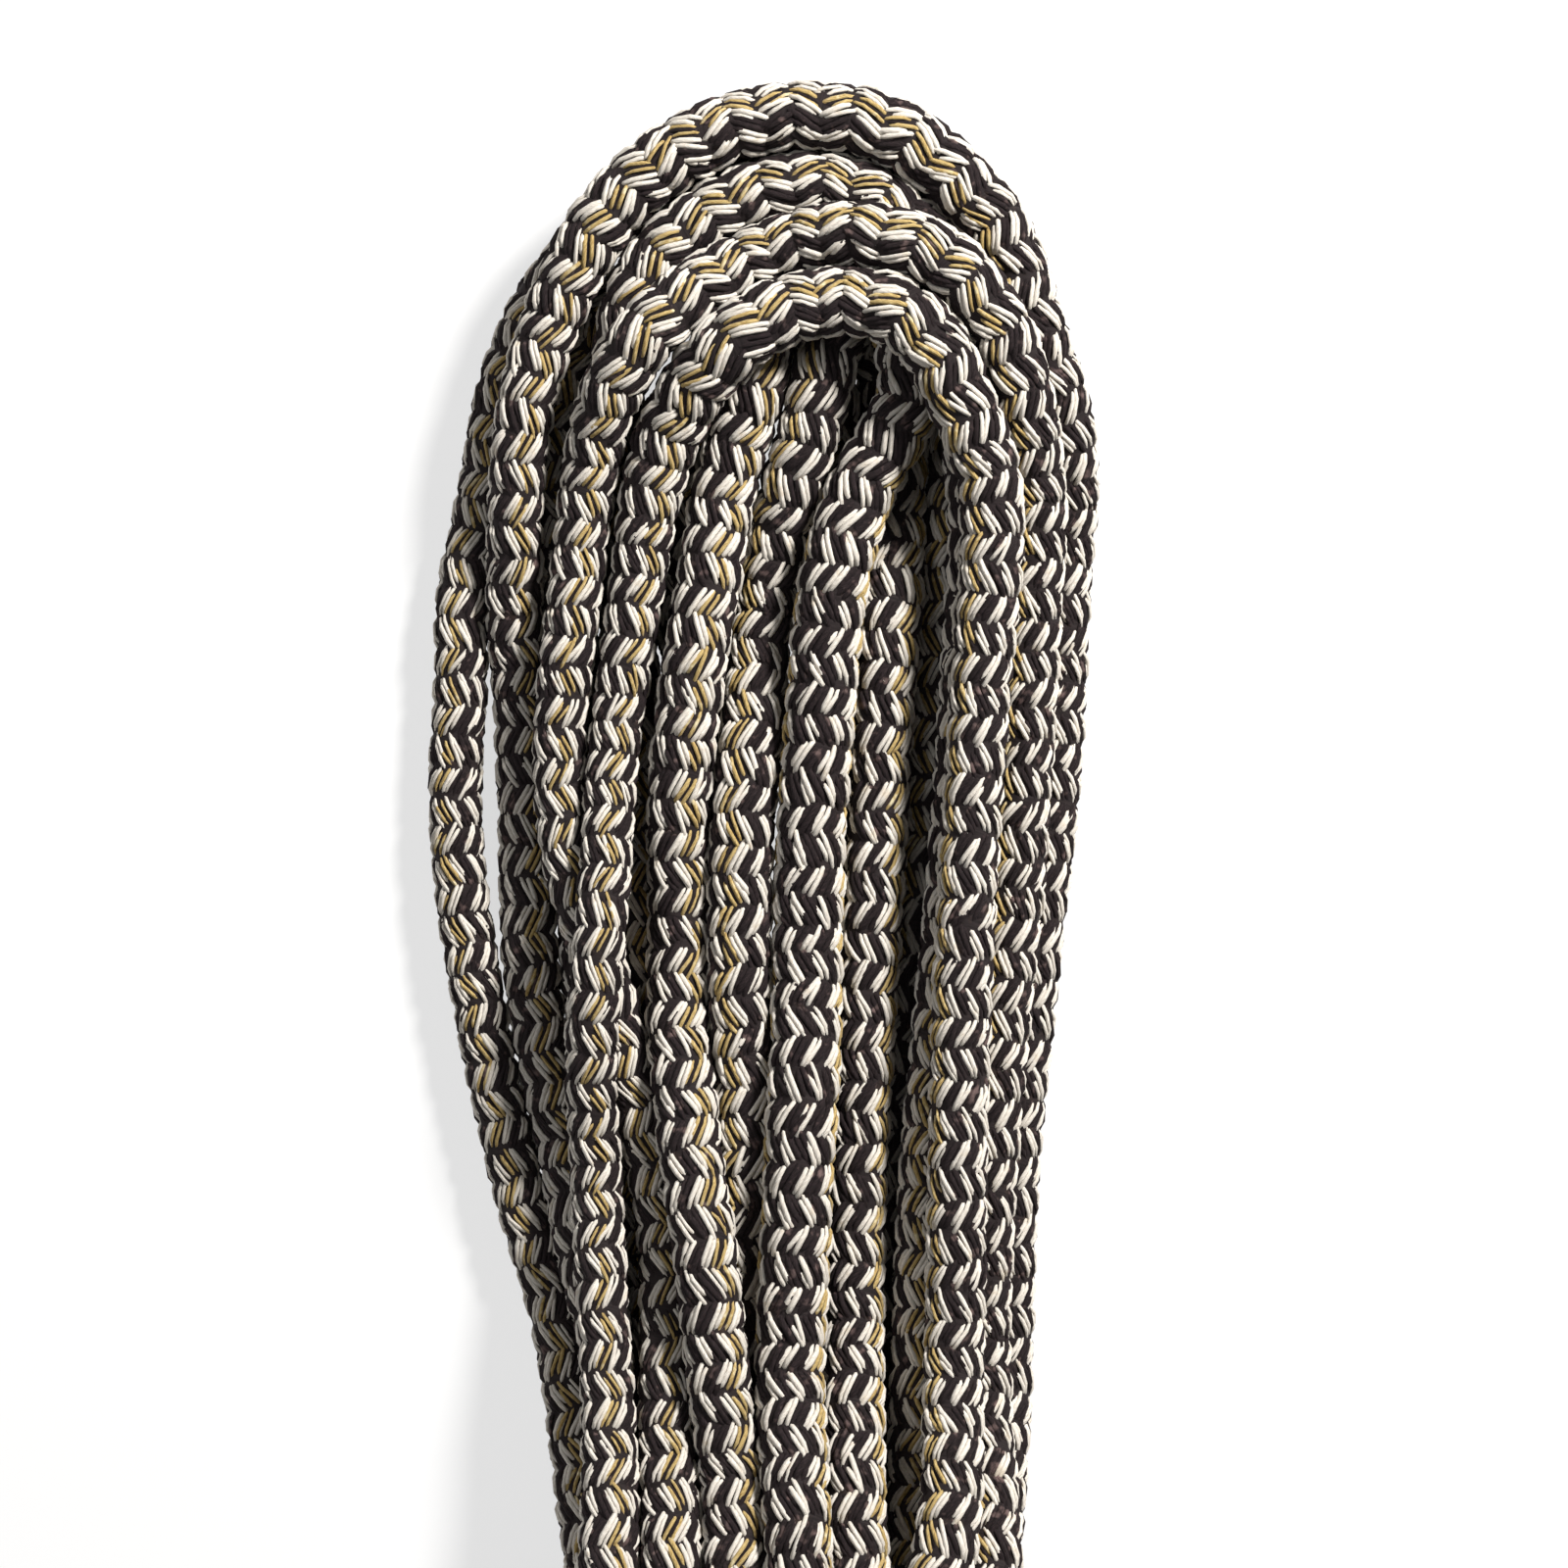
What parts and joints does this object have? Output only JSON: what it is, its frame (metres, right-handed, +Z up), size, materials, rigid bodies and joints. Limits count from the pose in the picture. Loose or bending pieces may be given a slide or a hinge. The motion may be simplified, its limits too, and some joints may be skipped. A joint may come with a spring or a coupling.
{
  "type": "coiled dock line",
  "caption": "Thick soft braided dock line laid up as a hank: long bights, frapping turns round the neck, short bights, a spliced eye and a whipped tail.",
  "frame": {"origin": "centre of the hank's footprint on the surface it lies on", "axes": "+Y along the hank towards the long bights, +X across it, +Z up"},
  "size_m": [0.1156, 0.54, 0.061],
  "materials": {
    "rope": "soft spun-yarn braid in off-white, charcoal and gold",
    "whipping_twine": "waxed natural whipping twine",
    "sealed_tip": "heat-sealed yarn ends, fused and matte"
  },
  "bodies": {
    "root": {"long_bights": "rope", "short_bights": "rope", "gathered_turns": "rope", "frapping_turns": "rope", "eye_leg": "rope", "eye_throat": "rope", "eye_loop": "rope", "tail": "rope", "eye_whipping": "whipping_twine", "tail_whipping": "whipping_twine", "tail_tip": "sealed_tip"}
  },
  "joints": []
}
